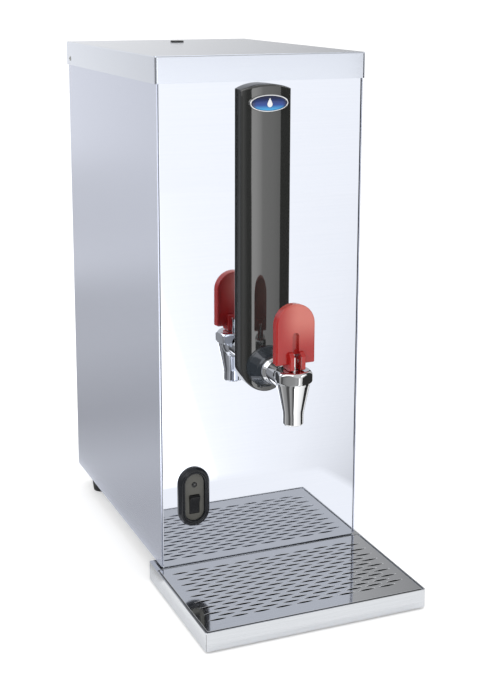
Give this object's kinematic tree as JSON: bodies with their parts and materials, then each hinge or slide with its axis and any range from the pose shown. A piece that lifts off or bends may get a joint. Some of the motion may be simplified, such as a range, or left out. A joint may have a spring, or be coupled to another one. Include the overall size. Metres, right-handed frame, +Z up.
{
  "type": "countertop water dispenser",
  "caption": "Tall steel countertop hot-water dispenser with a lever tap on a dark column, a rocker switch and a slotted drip tray that slides out.",
  "frame": {"origin": "centre of the whole assembly's footprint, on the surface it stands on", "axes": "+Z up, the tap and tray face -Y, +X to the right seen from the front"},
  "size_m": [0.222, 0.456, 0.5165],
  "materials": {
    "mirror_steel": "mirror-polished stainless sheet",
    "satin_steel": "satin brushed stainless sheet",
    "bright_lid": "bright fine-brushed stainless sheet",
    "rear_steel": "plain mill-finish sheet",
    "tray_steel": "satin stainless sheet",
    "grille_steel": "polished stainless sheet",
    "inner_stainless": "plain stainless",
    "zinc_fasteners": "zinc-plated steel",
    "brass": "plain brass",
    "chrome": "bright chrome plate",
    "spring_steel": "drawn wire",
    "column_plastic": "dark glossy moulding",
    "escutcheon_plastic": "dark blue-grey glossy moulding",
    "lever_plastic": "red semi-gloss moulding",
    "bezel_plastic": "dark satin moulding",
    "rocker_plastic": "black satin moulding",
    "black_plastic": "black moulding",
    "valve_plastic": "white moulding",
    "badge_enamel": "domed blue resin",
    "lamp_lens": "smoked lens, unlit",
    "rubber": "black moulded rubber",
    "silicone": "translucent white silicone",
    "insulation": "fibre felt",
    "circuit_board": "green laminate",
    "relay_plastic": "blue moulding"
  },
  "bodies": {
    "cabinet": {"front_panel": "mirror_steel", "left_side_panel": "satin_steel", "right_side_panel": "satin_steel", "rear_panel": "rear_steel", "rear_panel_screws": "zinc_fasteners", "base_plate": "rear_steel", "lid": "bright_lid", "lid_screws": "zinc_fasteners", "lid_vent_plug": "black_plastic", "foot_front_left": "rubber", "foot_front_right": "rubber", "foot_rear_left": "rubber", "foot_rear_right": "rubber", "foot_screws": "zinc_fasteners", "foot_nuts": "zinc_fasteners", "tank_stand": "rear_steel", "tank_shell": "inner_stainless", "tank_gasket": "silicone", "tank_lid": "inner_stainless", "tank_lid_screws": "zinc_fasteners", "insulation_jacket": "insulation", "heating_element": "inner_stainless", "element_gasket": "silicone", "level_probe_short": "inner_stainless", "level_probe_long": "inner_stainless", "temperature_probe": "inner_stainless", "overheat_cutout": "black_plastic", "inlet_solenoid": "valve_plastic", "solenoid_coil": "black_plastic", "inlet_filter": "valve_plastic", "inlet_nut": "zinc_fasteners", "fill_hose": "silicone", "overflow_pipe": "inner_stainless", "control_board": "circuit_board", "board_standoffs": "brass", "power_relay": "relay_plastic", "terminal_block": "valve_plastic", "cable_gland": "black_plastic", "gland_nut": "black_plastic", "column_cover": "column_plastic", "column_screws": "zinc_fasteners", "badge_rim": "chrome", "badge_lens": "badge_enamel", "tap_escutcheon": "escutcheon_plastic", "tap_collar": "chrome", "tap_body": "chrome", "tap_nut": "zinc_fasteners", "tap_spring": "spring_steel", "tap_bonnet": "chrome", "switch_bezel": "bezel_plastic", "switch_housing": "black_plastic", "indicator_lens": "lamp_lens"},
    "tap_valve": {"tap_stem": "chrome", "tap_seat_cup": "silicone", "tap_lever_pin": "chrome"},
    "lever": {"tap_lever": "lever_plastic"},
    "rocker": {"switch_rocker": "rocker_plastic"},
    "tray": {"tray_pan": "tray_steel", "tray_feet": "rubber"},
    "grille": {"tray_grille": "grille_steel"}
  },
  "joints": [
    {"name": "lever_tilt", "type": "hinge", "parent": "tap_valve", "child": "lever", "pos_m": [0, -0.166, 0.239], "axis": [1, 0, 0], "range_deg": [0, 35], "stiffness_Nm_per_rad": 0.036, "springref_deg": -17.19},
    {"name": "stem_lift", "type": "slide", "parent": "cabinet", "child": "tap_valve", "axis": [0, 0, 1], "range_m": [0, 0.003], "deforming": ["tap_spring"]},
    {"name": "rocker_tilt", "type": "hinge", "parent": "cabinet", "child": "rocker", "pos_m": [-0.0715, -0.093, 0.08275], "axis": [-1, 0, 0], "range_deg": [0, 24]},
    {"name": "tray_slide", "type": "slide", "parent": "cabinet", "child": "tray", "axis": [0, -1, 0], "range_m": [0, 0.12]},
    {"name": "grille_lift", "type": "slide", "parent": "tray", "child": "grille", "axis": [0, 0, 1], "range_m": [0, 0.035]}
  ],
  "couplings": [
    {"joint": "lever_tilt", "follows": "stem_lift", "rad_per_m": 203.62}
  ]
}
